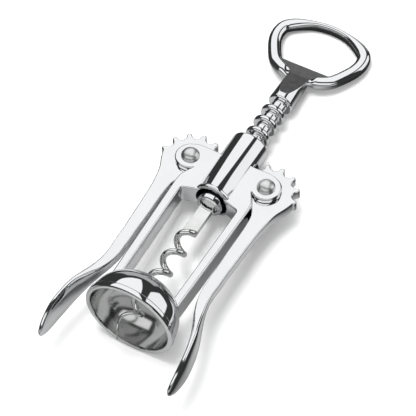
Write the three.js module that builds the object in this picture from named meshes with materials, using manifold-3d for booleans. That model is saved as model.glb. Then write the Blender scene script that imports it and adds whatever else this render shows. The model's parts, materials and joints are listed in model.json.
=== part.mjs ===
// Double-lever corkscrew with an opener handle, lying on its back with the levers down.
// Units are millimetres. Each piece is drawn in its own working frame: X across the levers,
// Y along the spindle from the bell's rim (Y = 0) to the handle, Z out of the front face.
// At the end the whole tool is tipped back a few degrees so that it rests on the bell's
// rim and the far edge of the handle, with the floor at Z = 0.

import * as THREE from 'three';
import { mergeVertices } from 'three/addons/utils/BufferGeometryUtils.js';
import Module from 'manifold-3d';

const wasm = await Module();
wasm.setup();

// ---------- driving dimensions ----------

const GAP = 0.3;                      // clear space left between pieces that sit together
const ROUND = 48;                     // sides of a full circle on the large round pieces
const SMALL_ROUND = 32;               // sides of a full circle on pins and bores
const SPINDLE_ROUND = 28;             // sides of a full circle on the ringed spindle
const BELL_ROUND = 56;                // sides of a full circle on the bell
const PIN_ROUND = 24;                 // sides of a full circle on the worm's pin and its holes

// bell
const BELL_RADIUS = 21;
const BELL_HEIGHT = 19.8;
const BELL_WALL = 2;
const BELL_RIM_BAND = 2.4;            // height of the straight band at the rim
const BELL_RIM_STEP = 0.35;           // how far the dome is set in behind that band
const BELL_HOLE_RADIUS = 6.8;         // hole in the crown that the worm runs through
const BELL_FULLNESS = 2.35;           // exponent of the dome's outline: 2 would be an ellipse

// frame
const FRAME_DEPTH = 10;
const SLOT_DEPTH = 5.8;               // space between the front and back plates for a lever
const BARREL_RADIUS = 8.9;
const BARREL_LIP_RADIUS = 9.2;        // rounded lip at the barrel's lower end
const BARREL_BORE = 7;
const BARREL_LOW = 70.6;
const BARREL_TOP = 105.7;
const PIVOT_X = 18.9;
const PIVOT_Y = 85;
const EAR_RADIUS = 6.9;
const PLATE_SHOULDER_Y = 92.8;        // where the plate's top edge meets the barrel
const PLATE_LOW_Y = 68;
const NOTCH_X = 16.6;
const NOTCH_Y = 77;
const LEG_OUTER_TOP = 18.2;
const LEG_OUTER_LOW = 16.6;
const LEG_INNER_TOP = 13.9;
const LEG_INNER_LOW = 12.8;
const LEG_END_Y = 8;                  // legs are drawn past the dome, then cut to its shape

// lever
const LEVER_THICK = 5;
const GEAR_ROOT = 11.9;
const GEAR_TIP = 14.7;
const TOOTH_STEP_DEG = 28.5;
const TOOTH_FIRST_DEG = -82.2;        // tooth nearest the rack, from +Y towards the outside
const TOOTH_COUNT = 7;
const TOOTH_ROOT_HALF = 1.75;
const TOOTH_TIP_HALF = 1.2;
const GEAR_CLEARANCE = 0.5;           // space round the teeth in the frame's slots
const ARM_INNER = 20;
const ARM_OUTER = 26.1;
const PIVOT_BORE = 3.06;

// rivet
const RIVET_RADIUS = 3;
const RIVET_HEAD_RADIUS = 4.1;
const RIVET_HEAD_HEIGHT = 2.3;
const RIVET_HEAD_EDGE = 0.5;          // straight edge below the head's dome
const RIVET_SEAT_GAP = 0.08;          // thin gap between a head and the plate it holds
const RIVET_FIT = 0.05;               // clearance round the shank in the plates

// spindle
const RING_PITCH = 7.1;
const RING_COUNT = 8;
const RING_TOP_Y = 126;
const RING_RADIUS = 5.9;
const RING_HALF = 1.5;
const RING_EDGE = 0.5;                // bevel on a ring's corners
const CORE_RADIUS = 3.6;
const SPINDLE_TENON_RADIUS = 2.4;
const SPINDLE_TENON_TOP = 144;
const END_LIP_RADIUS = 4.1;           // lip at the spindle's lower end that holds the collar
const END_LIP_LOW = 68.9;
const END_LIP_TOP = 69.7;
const STOP_COLLAR_LOW = 67.5;
const STOP_COLLAR_SEAT = 70;          // depth to which the collar is counterbored for the lip
const STOP_COLLAR_TOP = 72.2;
const STOP_COLLAR_RADIUS = 5.9;
const STOP_COLLAR_EDGE = 0.3;         // bevel on the collar's outer corners
const TURNING_FIT = 0.2;              // clearance on the radius where the collar turns

// handle
const BEAD_HALF_WIDTH = 3.05;
const BEAD_CROWN_HALF_WIDTH = 1.7;    // the bead is narrower across the middle of its far side
const BEAD_HALF_THICK = 2.7;
const BEAD_SQUARENESS = 2.2;
const BEAD_FOOT_Y = 149.4;            // where the bead's middle line crosses the neck
const BEAD_CROWN_Y = 170;             // the bead narrows only above this height,
const BEAD_CROWN_REACH = [0, 13];     // over this stretch inwards from the widest place
const BEAD_WIDEST_X = 19;
const BEAD_FOOT_TOP_Y = 156;          // the bead drops to the web only below this height,
const BEAD_FOOT_REACH = [3.6, 6];     // between these distances from the middle
const WEB_HALF_THICK = 1.1;
const CHORD_Y = 156.6;                // straight edge that lifts a cap
const NECK_BASE_Y = 132.2;
const NECK_BASE_RADIUS = 6;
const NECK_TOP_Y = 151;
const NECK_TOP_HALF = 5.2;
const NECK_FLAT_LOW_Y = 135;          // where the neck's front and back flats run out

// worm
const WIRE_RADIUS = 1.4;
const COIL_RADIUS = 3.3;              // from the axis to the middle of the wire
const COIL_PITCH = 11.8;
const COIL_RIGHT_Y = 40.2;            // height of a place where the wire is furthest to +X
const COIL_TOP_Y = 52;
const COIL_TIP_Y = -7.5;
const TIP_WIRE = 0.16;                // the wire's size at the point, as a share of the full wire
const TIP_TAPER = 19;                 // length along the axis over which the wire thins to its point
const TIP_CLOSE = 14;                 // length over which the last turn closes in on the axis
const TOP_CLOSE = 4;                  // length over which the first turn closes in on the shank
const SHANK_HALF_WIDTH = 3.15;
const SHANK_HALF_THICK = 1.25;
const SHANK_LOW_Y = 50.5;
const SHANK_SHOULDER_Y = 68.6;
const TANG_HALF_WIDTH = 2.3;
const TANG_TOP_Y = 79;
const WORM_PIN_RADIUS = 0.9;
const WORM_PIN_FIT = 0.1;             // clearance round the pin in its holes
const WORM_PIN_Y = 73;

// lying pose
const HEAD_REST_Y = 183;              // far edge of the handle that touches the floor
const TIP_BACK = Math.atan((BELL_RADIUS - BEAD_HALF_THICK) / HEAD_REST_Y);

// ---------- materials ----------

const chromeLook = { color: 0xd8dadc, roughness: 0.12, metalness: 1 };
const steelLook = { color: 0xc4c6c8, roughness: 0.22, metalness: 1 };
const satinLook = { color: 0xb4b6b8, roughness: 0.34, metalness: 1 };

// ---------- helpers ----------

function solidFrom(geometry) {
  const plain = geometry.clone();
  plain.deleteAttribute('normal');
  plain.deleteAttribute('uv');
  const merged = mergeVertices(plain, 1e-4);
  return new wasm.Manifold(new wasm.Mesh({
    numProp: 3,
    vertProperties: new Float32Array(merged.attributes.position.array),
    triVerts: new Uint32Array(merged.index.array),
  }));
}

function geometryFrom(solid) {
  const data = solid.getMesh();
  const geometry = new THREE.BufferGeometry();
  geometry.setAttribute('position', new THREE.BufferAttribute(new Float32Array(data.vertProperties), 3));
  geometry.setIndex(new THREE.BufferAttribute(new Uint32Array(data.triVerts), 1));
  geometry.computeVertexNormals();
  return geometry;
}

// A plate cut from an outline in the XY plane, from zLow to zHigh.
function plate(shape, zLow, zHigh, curveSegments = 12) {
  const geometry = new THREE.ExtrudeGeometry(shape, {
    depth: zHigh - zLow,
    bevelEnabled: false,
    curveSegments,
  });
  geometry.translate(0, 0, zLow);
  return solidFrom(geometry);
}

// A round bar along X, Y or Z between two ends.
function bar(axis, radius, low, high, sides, at = [0, 0, 0]) {
  const geometry = new THREE.CylinderGeometry(radius, radius, high - low, sides);
  geometry.translate(0, (high + low) / 2, 0);
  if (axis === 'z') {
    geometry.rotateX(Math.PI / 2);
  }
  if (axis === 'x') {
    geometry.rotateZ(-Math.PI / 2);
  }
  geometry.translate(...at);
  return solidFrom(geometry);
}

function block(xLow, xHigh, yLow, yHigh, zLow, zHigh) {
  const geometry = new THREE.BoxGeometry(xHigh - xLow, yHigh - yLow, zHigh - zLow);
  geometry.translate((xLow + xHigh) / 2, (yLow + yHigh) / 2, (zLow + zHigh) / 2);
  return solidFrom(geometry);
}

// A turned piece about the Y axis from [radius, y] pairs that close on themselves.
function turned(profile, sides) {
  const points = profile.map(([r, y]) => new THREE.Vector2(r, y));
  return solidFrom(new THREE.LatheGeometry(points, sides));
}

// Skin over a row of rings with equal point counts. Rings run round the outside
// anticlockwise as seen looking back along the row; closed rows join end to start.
function skin(rings, closed) {
  const count = rings[0].length;
  const positions = rings.flat().flatMap((p) => [p.x, p.y, p.z]);
  const index = [];
  const last = closed ? rings.length : rings.length - 1;
  for (let i = 0; i < last; i += 1) {
    const next = (i + 1) % rings.length;
    for (let j = 0; j < count; j += 1) {
      const k = (j + 1) % count;
      const a = i * count + j;
      const b = i * count + k;
      const c = next * count + k;
      const d = next * count + j;
      index.push(a, b, c, a, c, d);
    }
  }
  if (!closed) {
    const top = (rings.length - 1) * count;
    for (let j = 1; j < count - 1; j += 1) {
      index.push(0, j + 1, j);
      index.push(top, top + j, top + j + 1);
    }
  }
  const geometry = new THREE.BufferGeometry();
  geometry.setAttribute('position', new THREE.Float32BufferAttribute(positions, 3));
  geometry.setIndex(index);
  const solid = solidFrom(geometry);
  return solid.volume() > 0 ? solid : solidFrom(flipped(geometry));
}

function flipped(geometry) {
  const copy = geometry.clone();
  const index = copy.index.array;
  for (let i = 0; i < index.length; i += 3) {
    const keep = index[i + 1];
    index[i + 1] = index[i + 2];
    index[i + 2] = keep;
  }
  return copy;
}

// One ring of a swept piece: a rounded box section about a centre, with half sizes
// along two directions. Power 2 is an ellipse and larger powers are squarer.
function section(centre, sideways, upwards, halfSide, halfUp, power, count) {
  const ring = [];
  for (let j = 0; j < count; j += 1) {
    const turn = (2 * Math.PI * j) / count;
    const c = Math.cos(turn);
    const s = Math.sin(turn);
    const u = Math.sign(c) * halfSide * Math.abs(c) ** (2 / power);
    const v = Math.sign(s) * halfUp * Math.abs(s) ** (2 / power);
    ring.push(centre.clone().addScaledVector(sideways, u).addScaledVector(upwards, v));
  }
  return ring;
}

function mirrored(solid) {
  return solid.mirror([1, 0, 0]);
}

// ---------- bell ----------

// Radius of the dome's outside at a height above the rim, grown by an allowance.
function domeRadius(y, allowance) {
  const radius = BELL_RADIUS - BELL_RIM_STEP + allowance;
  const height = BELL_HEIGHT + allowance;
  return radius * (1 - (y / height) ** BELL_FULLNESS) ** (1 / BELL_FULLNESS);
}

function domeHeight(r, allowance) {
  const radius = BELL_RADIUS - BELL_RIM_STEP + allowance;
  const height = BELL_HEIGHT + allowance;
  return height * (1 - (r / radius) ** BELL_FULLNESS) ** (1 / BELL_FULLNESS);
}

// Points on the dome from just above the rim to the edge of the crown's hole.
function domeCurve(allowance, startY, endRadius) {
  const points = [];
  const steps = 12;
  const split = 0.75 * BELL_HEIGHT;
  for (let i = 0; i <= steps / 2; i += 1) {
    const y = startY + ((split - startY) * i) / (steps / 2);
    points.push([domeRadius(y, allowance), y]);
  }
  const splitRadius = domeRadius(split, allowance);
  for (let i = 1; i <= steps / 2; i += 1) {
    const r = splitRadius + ((endRadius - splitRadius) * i) / (steps / 2);
    points.push([r, domeHeight(r, allowance)]);
  }
  return points;
}

function makeBell() {
  const outside = domeCurve(0, BELL_RIM_BAND + 0.5, BELL_HOLE_RADIUS);
  const inside = domeCurve(-BELL_WALL, 0.01, BELL_HOLE_RADIUS).reverse();
  const profile = [
    [BELL_RADIUS - BELL_WALL, 0],
    [BELL_RADIUS - 0.3, 0],
    [BELL_RADIUS, 0.3],
    [BELL_RADIUS, BELL_RIM_BAND],
    ...outside,
    ...inside,
    [BELL_RADIUS - BELL_WALL, 0],
  ];
  return turned(profile, BELL_ROUND);
}

// ---------- frame ----------

function frameOutline() {
  const shape = new THREE.Shape();
  const earRise = 1.05;               // direction in which the ear's top edge leaves it, radians
  const earEnd = -2.35;               // direction in which the ear's lower edge leaves it
  const side = (sign, points) => points.map(([x, y]) => [sign * x, y]);
  const ear = [];
  const steps = 14;
  for (let i = 0; i <= steps; i += 1) {
    const turn = earRise + ((earEnd - earRise) * i) / steps;
    ear.push([PIVOT_X + EAR_RADIUS * Math.cos(turn), PIVOT_Y + EAR_RADIUS * Math.sin(turn)]);
  }
  const right = [
    [BARREL_RADIUS - 1, PLATE_SHOULDER_Y],
    [12.5, 92.6],
    ...ear,
    [NOTCH_X, NOTCH_Y],
    [LEG_OUTER_TOP - 0.4, NOTCH_Y - 3.4],
    [LEG_OUTER_TOP, NOTCH_Y - 7],
    [LEG_OUTER_LOW, LEG_END_Y],
    [LEG_INNER_LOW, LEG_END_Y],
    [LEG_INNER_TOP, PLATE_LOW_Y],
    [BARREL_RADIUS - 1, PLATE_LOW_Y + 2.2],
  ];
  const outline = [...right, ...side(-1, right).reverse()];
  shape.setFromPoints(outline.map(([x, y]) => new THREE.Vector2(x, y)));
  return shape;
}

function makeFrame() {
  const half = FRAME_DEPTH / 2;
  const slot = SLOT_DEPTH / 2;
  let solid = plate(frameOutline(), -half, half);
  const barrel = turned([
    [BARREL_BORE, BARREL_LOW],
    [BARREL_LIP_RADIUS - 0.6, BARREL_LOW],
    [BARREL_LIP_RADIUS, BARREL_LOW + 0.6],
    [BARREL_LIP_RADIUS, BARREL_LOW + 1.6],
    [BARREL_RADIUS, BARREL_LOW + 2.2],
    [BARREL_RADIUS, BARREL_TOP - 1.2],
    [BARREL_RADIUS - 0.4, BARREL_TOP - 0.4],
    [BARREL_RADIUS - 1, BARREL_TOP],
    [BARREL_BORE, BARREL_TOP],
    [BARREL_BORE, BARREL_LOW],
  ], ROUND);
  solid = solid.add(barrel);
  solid = solid.subtract(bar('y', BARREL_BORE, PLATE_LOW_Y - 10, BARREL_TOP + 10, ROUND));
  for (const sign of [-1, 1]) {
    const pivot = [sign * PIVOT_X, PIVOT_Y, 0];
    solid = solid.subtract(bar('z', GEAR_TIP + GEAR_CLEARANCE, -slot, slot, ROUND, pivot));
    solid = solid.subtract(bar('z', RIVET_RADIUS + RIVET_FIT, -half - 1, half + 1, SMALL_ROUND, pivot));
  }
  const domeCut = [[0, 0], ...domeCurve(GAP, 0, 1), [0, domeHeight(0, GAP)]];
  solid = solid.subtract(turned(domeCut, BELL_ROUND));
  return solid;
}

// ---------- levers ----------

function leverPlateOutline() {
  const shape = new THREE.Shape();
  const points = [];
  const at = (angleDeg, radius, offset) => {
    const a = THREE.MathUtils.degToRad(angleDeg);
    const outward = [Math.sin(a), Math.cos(a)];
    const across = [Math.cos(a), -Math.sin(a)];
    return [
      PIVOT_X + radius * outward[0] + offset * across[0],
      PIVOT_Y + radius * outward[1] + offset * across[1],
    ];
  };
  for (let i = 0; i < TOOTH_COUNT; i += 1) {
    const angle = TOOTH_FIRST_DEG + TOOTH_STEP_DEG * i;
    points.push(at(angle, GEAR_ROOT - 0.15, -TOOTH_ROOT_HALF - 0.5));
    points.push(at(angle, GEAR_ROOT + 0.5, -TOOTH_ROOT_HALF + 0.25));
    points.push(at(angle, GEAR_TIP - 0.8, -TOOTH_TIP_HALF));
    points.push(at(angle, GEAR_TIP - 0.2, -TOOTH_TIP_HALF * 0.7));
    points.push(at(angle, GEAR_TIP, 0));
    points.push(at(angle, GEAR_TIP - 0.2, TOOTH_TIP_HALF * 0.7));
    points.push(at(angle, GEAR_TIP - 0.8, TOOTH_TIP_HALF));
    if (i < TOOTH_COUNT - 1) {
      points.push(at(angle, GEAR_ROOT + 0.5, TOOTH_ROOT_HALF - 0.25));
      points.push(at(angle, GEAR_ROOT - 0.15, TOOTH_ROOT_HALF + 0.5));
    }
  }
  const outerEdge = [
    [31.2, 80.2],
    [28.9, 74.6],
    [27.4, 67],
    [26.6, 57],
    [ARM_OUTER, 46],
    [25.5, 34],
    [25.3, 26],
  ];
  const innerEdge = [
    [20.2, 26],
    [ARM_INNER, 34],
    [ARM_INNER - 0.1, 50],
    [ARM_INNER, 64],
    [ARM_INNER - 0.6, 70],
    [17.8, 73.4],
  ];
  points.push(...outerEdge, ...innerEdge);
  // back round the gear's root on the side that faces the leg
  for (let i = 0; i <= 5; i += 1) {
    points.push(at(-176 + 14 * i, GEAR_ROOT, 0));
  }
  shape.setFromPoints(points.map(([x, y]) => new THREE.Vector2(x, y)));
  return shape;
}

// Middle of the arm from the flat part to the tip of the paddle, with the half size
// across the lever, the half size front to back and the squareness of the section.
// The paddle stands mostly behind the arm, so its middle drops back towards the tip.
const PADDLE_STATIONS = [
  { x: 22.75, y: 27.5, z: 0, across: 2.5, deep: 2.48, power: 7 },
  { x: 23.4, y: 21.5, z: 0, across: 2.5, deep: 2.55, power: 5 },
  { x: 24.9, y: 16, z: -0.3, across: 2.3, deep: 3.2, power: 3.4 },
  { x: 27, y: 10.5, z: -1, across: 2.05, deep: 5, power: 2.6 },
  { x: 29.2, y: 4.5, z: -2, across: 1.9, deep: 6.9, power: 2.4 },
  { x: 30.6, y: -2, z: -3, across: 1.8, deep: 7.7, power: 2.4 },
  { x: 31.4, y: -8.5, z: -3.8, across: 1.7, deep: 7.5, power: 2.4 },
  { x: 31.5, y: -13, z: -4.3, across: 1.55, deep: 6.5, power: 2.4 },
  { x: 31.4, y: -16.8, z: -4.7, across: 1.4, deep: 5, power: 2.3 },
  { x: 31.2, y: -19.4, z: -4.9, across: 1.15, deep: 3.2, power: 2.1 },
  { x: 31.1, y: -21, z: -5, across: 0.6, deep: 1.4, power: 2 },
];

function paddle() {
  const middle = new THREE.CatmullRomCurve3(
    PADDLE_STATIONS.map((s) => new THREE.Vector3(s.x, s.y, 0)),
    false,
    'centripetal',
  );
  const front = new THREE.Vector3(0, 0, 1);
  const rings = PADDLE_STATIONS.map((s, i) => {
    const along = middle.getTangent(i / (PADDLE_STATIONS.length - 1));
    const sideways = new THREE.Vector3().crossVectors(along, front).normalize();
    const centre = new THREE.Vector3(s.x, s.y, s.z);
    return section(centre, sideways, front, s.across, s.deep, s.power, 24);
  });
  return skin(rings, false);
}

function makeLever() {
  const half = LEVER_THICK / 2;
  let solid = plate(leverPlateOutline(), -half, half);
  solid = solid.add(paddle());
  const pivot = [PIVOT_X, PIVOT_Y, 0];
  return solid.subtract(bar('z', PIVOT_BORE, -half - 1, half + 1, SMALL_ROUND, pivot));
}

// ---------- rivets ----------

function makeRivet() {
  const seat = FRAME_DEPTH / 2 + RIVET_SEAT_GAP;
  const head = (sign) => {
    const curve = [];
    const steps = 6;
    for (let i = 0; i <= steps; i += 1) {
      const turn = (Math.PI / 2) * (i / steps);
      curve.push([
        RIVET_HEAD_RADIUS * Math.cos(turn),
        sign * (seat + RIVET_HEAD_EDGE + (RIVET_HEAD_HEIGHT - RIVET_HEAD_EDGE) * Math.sin(turn)),
      ]);
    }
    curve[steps][0] = 0;
    return curve;
  };
  const profile = [
    ...head(-1).reverse(),
    [RIVET_HEAD_RADIUS, -seat],
    [RIVET_RADIUS, -seat],
    [RIVET_RADIUS, seat],
    [RIVET_HEAD_RADIUS, seat],
    ...head(1),
  ];
  const points = profile.map(([r, y]) => new THREE.Vector2(r, y));
  const geometry = new THREE.LatheGeometry(points, SMALL_ROUND);
  geometry.rotateX(Math.PI / 2);
  geometry.translate(PIVOT_X, PIVOT_Y, 0);
  return solidFrom(geometry);
}

// ---------- spindle ----------

function ringProfile(centreY) {
  return [
    [CORE_RADIUS, centreY - RING_HALF],
    [RING_RADIUS - RING_EDGE, centreY - RING_HALF],
    [RING_RADIUS, centreY - RING_HALF + RING_EDGE],
    [RING_RADIUS, centreY + RING_HALF - RING_EDGE],
    [RING_RADIUS - RING_EDGE, centreY + RING_HALF],
    [CORE_RADIUS, centreY + RING_HALF],
  ];
}

function makeSpindle() {
  const profile = [
    [0, END_LIP_LOW],
    [END_LIP_RADIUS, END_LIP_LOW],
    [END_LIP_RADIUS, END_LIP_TOP],
    [CORE_RADIUS, END_LIP_TOP],
  ];
  for (let i = RING_COUNT - 1; i >= 0; i -= 1) {
    profile.push(...ringProfile(RING_TOP_Y - RING_PITCH * i));
  }
  profile.push([CORE_RADIUS, NECK_BASE_Y - GAP]);
  profile.push([SPINDLE_TENON_RADIUS, NECK_BASE_Y - GAP]);
  profile.push([SPINDLE_TENON_RADIUS, SPINDLE_TENON_TOP]);
  profile.push([0, SPINDLE_TENON_TOP]);
  let solid = turned(profile, SPINDLE_ROUND);
  const wide = TANG_HALF_WIDTH + GAP / 2;
  const thick = SHANK_HALF_THICK + GAP / 2;
  solid = solid.subtract(block(-wide, wide, END_LIP_LOW - 1, TANG_TOP_Y + GAP, -thick, thick));
  return solid.subtract(wormPinHole());
}

// The cross hole that the worm's pin goes through, in the spindle and in the tang.
function wormPinHole() {
  const reach = RING_RADIUS + 1;
  return bar('z', WORM_PIN_RADIUS + WORM_PIN_FIT, -reach, reach, PIN_ROUND, [0, WORM_PIN_Y, 0]);
}

function makeStopCollar() {
  const bore = CORE_RADIUS + TURNING_FIT;
  const counterbore = END_LIP_RADIUS + TURNING_FIT;
  const face = STOP_COLLAR_RADIUS - STOP_COLLAR_EDGE;
  return turned([
    [counterbore, STOP_COLLAR_LOW],
    [face, STOP_COLLAR_LOW],
    [STOP_COLLAR_RADIUS, STOP_COLLAR_LOW + STOP_COLLAR_EDGE],
    [STOP_COLLAR_RADIUS, STOP_COLLAR_TOP - STOP_COLLAR_EDGE],
    [face, STOP_COLLAR_TOP],
    [bore, STOP_COLLAR_TOP],
    [bore, STOP_COLLAR_SEAT],
    [counterbore, STOP_COLLAR_SEAT],
    [counterbore, STOP_COLLAR_LOW],
  ], SMALL_ROUND);
}

function makeWormPin() {
  const half = CORE_RADIUS - GAP;
  return bar('z', WORM_PIN_RADIUS, -half, half, PIN_ROUND, [0, WORM_PIN_Y, 0]);
}

// ---------- handle ----------

// Right half of the bead's middle line from the neck round to the top, before mirroring.
const BEAD_HALF_LINE = [
  [5.9, 150.6],
  [10.9, 152.6],
  [14.3, 155],
  [18.2, 160.8],
  [20.7, 166.2],
  [21.4, 171],
  [20.3, 175.3],
  [16.4, 178.6],
  [8.7, 181.8],
  [0, 183],
];

function beadCurve() {
  const right = BEAD_HALF_LINE.map(([x, y]) => new THREE.Vector3(x, y, 0));
  const left = BEAD_HALF_LINE.slice(0, -1).reverse().map(([x, y]) => new THREE.Vector3(-x, y, 0));
  const foot = new THREE.Vector3(0, BEAD_FOOT_Y, 0);
  return new THREE.CatmullRomCurve3([...right, ...left, foot], true, 'centripetal');
}

// Half sizes of the bead's section at a place on its middle line. It narrows across the
// far side, and over the neck it drops to the web so that the flats run through.
function beadSize(centre) {
  const fromMiddle = Math.abs(centre.x);
  const { smoothstep } = THREE.MathUtils;
  const crown = centre.y > BEAD_CROWN_Y ? smoothstep(BEAD_WIDEST_X - fromMiddle, ...BEAD_CROWN_REACH) : 0;
  const foot = centre.y < BEAD_FOOT_TOP_Y ? 1 - smoothstep(fromMiddle, ...BEAD_FOOT_REACH) : 0;
  return {
    wide: THREE.MathUtils.lerp(BEAD_HALF_WIDTH, BEAD_CROWN_HALF_WIDTH, crown),
    thick: THREE.MathUtils.lerp(BEAD_HALF_THICK, WEB_HALF_THICK, foot),
  };
}

function bead() {
  const curve = beadCurve();
  const steps = 60;
  const front = new THREE.Vector3(0, 0, 1);
  const rings = [];
  for (let i = 0; i < steps; i += 1) {
    const centre = curve.getPointAt(i / steps);
    const along = curve.getTangentAt(i / steps);
    const sideways = new THREE.Vector3().crossVectors(along, front).normalize();
    const size = beadSize(centre);
    rings.push(section(centre, sideways, front, size.wide, size.thick, BEAD_SQUARENESS, 16));
  }
  return skin(rings, true);
}

function web() {
  const curve = beadCurve();
  const points = curve.getSpacedPoints(72).slice(0, -1);
  const inside = points.filter((p) => p.y < CHORD_Y - 0.2);
  // one unbroken run round the foot, from the right end of the chord to the left end
  const right = inside.filter((p) => p.x > 0).sort((a, b) => b.x - a.x);
  const left = inside.filter((p) => p.x <= 0).sort((a, b) => b.x - a.x);
  const shape = new THREE.Shape();
  const run = [...right, ...left].map((p) => new THREE.Vector2(p.x, p.y));
  const ends = [
    new THREE.Vector2(run[run.length - 1].x, CHORD_Y),
    new THREE.Vector2(run[0].x, CHORD_Y),
  ];
  shape.setFromPoints([...run, ...ends]);
  return plate(shape, -WEB_HALF_THICK, WEB_HALF_THICK);
}

// The neck is a round stub under the bead, planed down in front and behind to two flats
// that slope in until they meet the web.
function neck() {
  const rings = [];
  const steps = 9;
  for (let i = 0; i <= steps; i += 1) {
    const t = i / steps;
    const y = NECK_BASE_Y + (NECK_TOP_Y - NECK_BASE_Y) * t;
    const wide = NECK_BASE_RADIUS + (NECK_TOP_HALF - NECK_BASE_RADIUS) * t - (i === 0 ? 0.4 : 0);
    const deep = NECK_BASE_RADIUS - (i === 0 ? 0.4 : 0);
    const down = THREE.MathUtils.clamp((y - NECK_FLAT_LOW_Y) / (NECK_TOP_Y - NECK_FLAT_LOW_Y), 0, 1);
    const flat = THREE.MathUtils.lerp(NECK_BASE_RADIUS, WEB_HALF_THICK, down);
    const centre = new THREE.Vector3(0, y, 0);
    const sideways = new THREE.Vector3(1, 0, 0);
    const front = new THREE.Vector3(0, 0, -1);
    const ring = section(centre, sideways, front, wide, deep, 2, 36);
    rings.push(ring.map((p) => p.setZ(THREE.MathUtils.clamp(p.z, -flat, flat))));
  }
  return skin(rings, false);
}

function makeHandle() {
  const solid = bead().add(web()).add(neck());
  const socket = SPINDLE_TENON_RADIUS + GAP / 2;
  return solid.subtract(bar('y', socket, NECK_BASE_Y - 2, SPINDLE_TENON_TOP + GAP, SMALL_ROUND));
}

// ---------- worm ----------

function coil() {
  const rings = [];
  const perTurn = 18;
  const sides = 10;
  const stepY = COIL_PITCH / perTurn;
  const count = Math.round((COIL_TOP_Y - COIL_TIP_Y) / stepY);
  const rise = COIL_PITCH / (2 * Math.PI);
  for (let i = 0; i <= count; i += 1) {
    const y = COIL_TIP_Y + stepY * i;
    const turn = Math.PI / 2 + (y - COIL_RIGHT_Y) / rise;
    const toTip = THREE.MathUtils.clamp((y - COIL_TIP_Y) / TIP_TAPER, 0, 1);
    const wire = WIRE_RADIUS * Math.max(TIP_WIRE, toTip ** 1.3);
    const toTop = THREE.MathUtils.clamp((COIL_TOP_Y - y) / TOP_CLOSE, 0, 1);
    const close = THREE.MathUtils.smoothstep(y - COIL_TIP_Y, 0, TIP_CLOSE);
    const open = (0.6 + 0.4 * Math.sqrt(toTop)) * (0.15 + 0.85 * close);
    const radius = (COIL_RADIUS + (WIRE_RADIUS - wire) * 0.9) * open;
    const outward = new THREE.Vector3(Math.sin(turn), 0, Math.cos(turn));
    const along = new THREE.Vector3(Math.cos(turn) * radius, rise, -Math.sin(turn) * radius).normalize();
    const upwards = new THREE.Vector3().crossVectors(along, outward).normalize();
    const centre = outward.clone().multiplyScalar(radius).setY(y);
    rings.push(section(centre, outward, upwards, wire, wire, 2, sides));
  }
  return skin(rings, false);
}

function makeWorm() {
  const wide = SHANK_HALF_WIDTH;
  const thick = SHANK_HALF_THICK;
  let solid = block(-wide, wide, SHANK_LOW_Y, SHANK_SHOULDER_Y, -thick, thick);
  solid = solid.add(block(-TANG_HALF_WIDTH, TANG_HALF_WIDTH, SHANK_LOW_Y, TANG_TOP_Y, -thick, thick));
  solid = solid.add(coil());
  return solid.subtract(wormPinHole());
}

// ---------- assembly ----------

const lever = makeLever();
const rivet = makeRivet();

const pieces = [
  ['frame', makeFrame(), chromeLook],
  ['bell', makeBell(), chromeLook],
  ['lever_right', lever, chromeLook],
  ['lever_left', mirrored(lever), chromeLook],
  ['pivot_rivet_right', rivet, chromeLook],
  ['pivot_rivet_left', mirrored(rivet), chromeLook],
  ['rack_spindle', makeSpindle(), chromeLook],
  ['stop_collar', makeStopCollar(), steelLook],
  ['opener_handle', makeHandle(), satinLook],
  ['worm', makeWorm(), steelLook],
  ['worm_pin', makeWormPin(), steelLook],
];

// The tool in its lying pose: tipped back on the bell's rim and the handle's far edge.
const tool = new THREE.Group();
tool.rotation.x = -TIP_BACK;
for (const [name, solid, look] of pieces) {
  const mesh = new THREE.Mesh(geometryFrom(solid), new THREE.MeshStandardMaterial(look));
  mesh.name = name;
  tool.add(mesh);
}

const group = new THREE.Group();
group.name = 'lever_corkscrew';
group.add(tool);
group.updateMatrixWorld(true);

// Centre the tool over the origin and set its lowest point on the floor.
const extent = new THREE.Box3().setFromObject(group, true);
const centre = extent.getCenter(new THREE.Vector3());
group.position.set(-centre.x, -centre.y, -extent.min.z);
group.updateMatrixWorld(true);

export default group;
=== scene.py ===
# Visual model of the double-lever corkscrew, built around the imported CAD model.
# Every piece is drawn in millimetres in a working frame: X across the levers, Y along the
# spindle from the bell's rim (Y = 0) to the handle, Z out of the front face. place() then
# sets it in the row frame, where the tool lies tipped back on its bell and its handle.

import json
import math

import bmesh
import bpy
from mathutils import Matrix, Vector


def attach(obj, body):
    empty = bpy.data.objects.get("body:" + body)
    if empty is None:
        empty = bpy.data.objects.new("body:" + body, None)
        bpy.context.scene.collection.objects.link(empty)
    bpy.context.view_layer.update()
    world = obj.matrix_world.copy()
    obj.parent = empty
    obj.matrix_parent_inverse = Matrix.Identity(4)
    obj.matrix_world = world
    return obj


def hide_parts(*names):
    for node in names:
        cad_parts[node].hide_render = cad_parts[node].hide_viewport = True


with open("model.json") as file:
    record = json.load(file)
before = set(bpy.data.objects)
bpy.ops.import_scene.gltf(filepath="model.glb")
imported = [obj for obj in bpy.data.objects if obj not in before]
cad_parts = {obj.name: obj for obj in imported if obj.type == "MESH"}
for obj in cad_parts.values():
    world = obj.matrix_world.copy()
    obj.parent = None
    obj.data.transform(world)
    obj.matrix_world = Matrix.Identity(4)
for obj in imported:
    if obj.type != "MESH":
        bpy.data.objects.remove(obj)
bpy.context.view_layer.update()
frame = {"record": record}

MM = 0.001

# ---------------------------------------------------------------- dimensions, in mm

BELL_RADIUS = 21.0
BELL_HEIGHT = 19.8
BELL_WALL = 2.0
BELL_BAND = 2.4
BELL_STEP = 0.35
BELL_HOLE = 6.8
BELL_FULLNESS = 2.35  # the exponent of its curve, 2 would be an ellipse
BELL_GAP = 0.12  # between the legs and the dome
DOME_SPLIT = 0.75  # the share of its height where the curve starts to be stepped by radius

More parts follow.
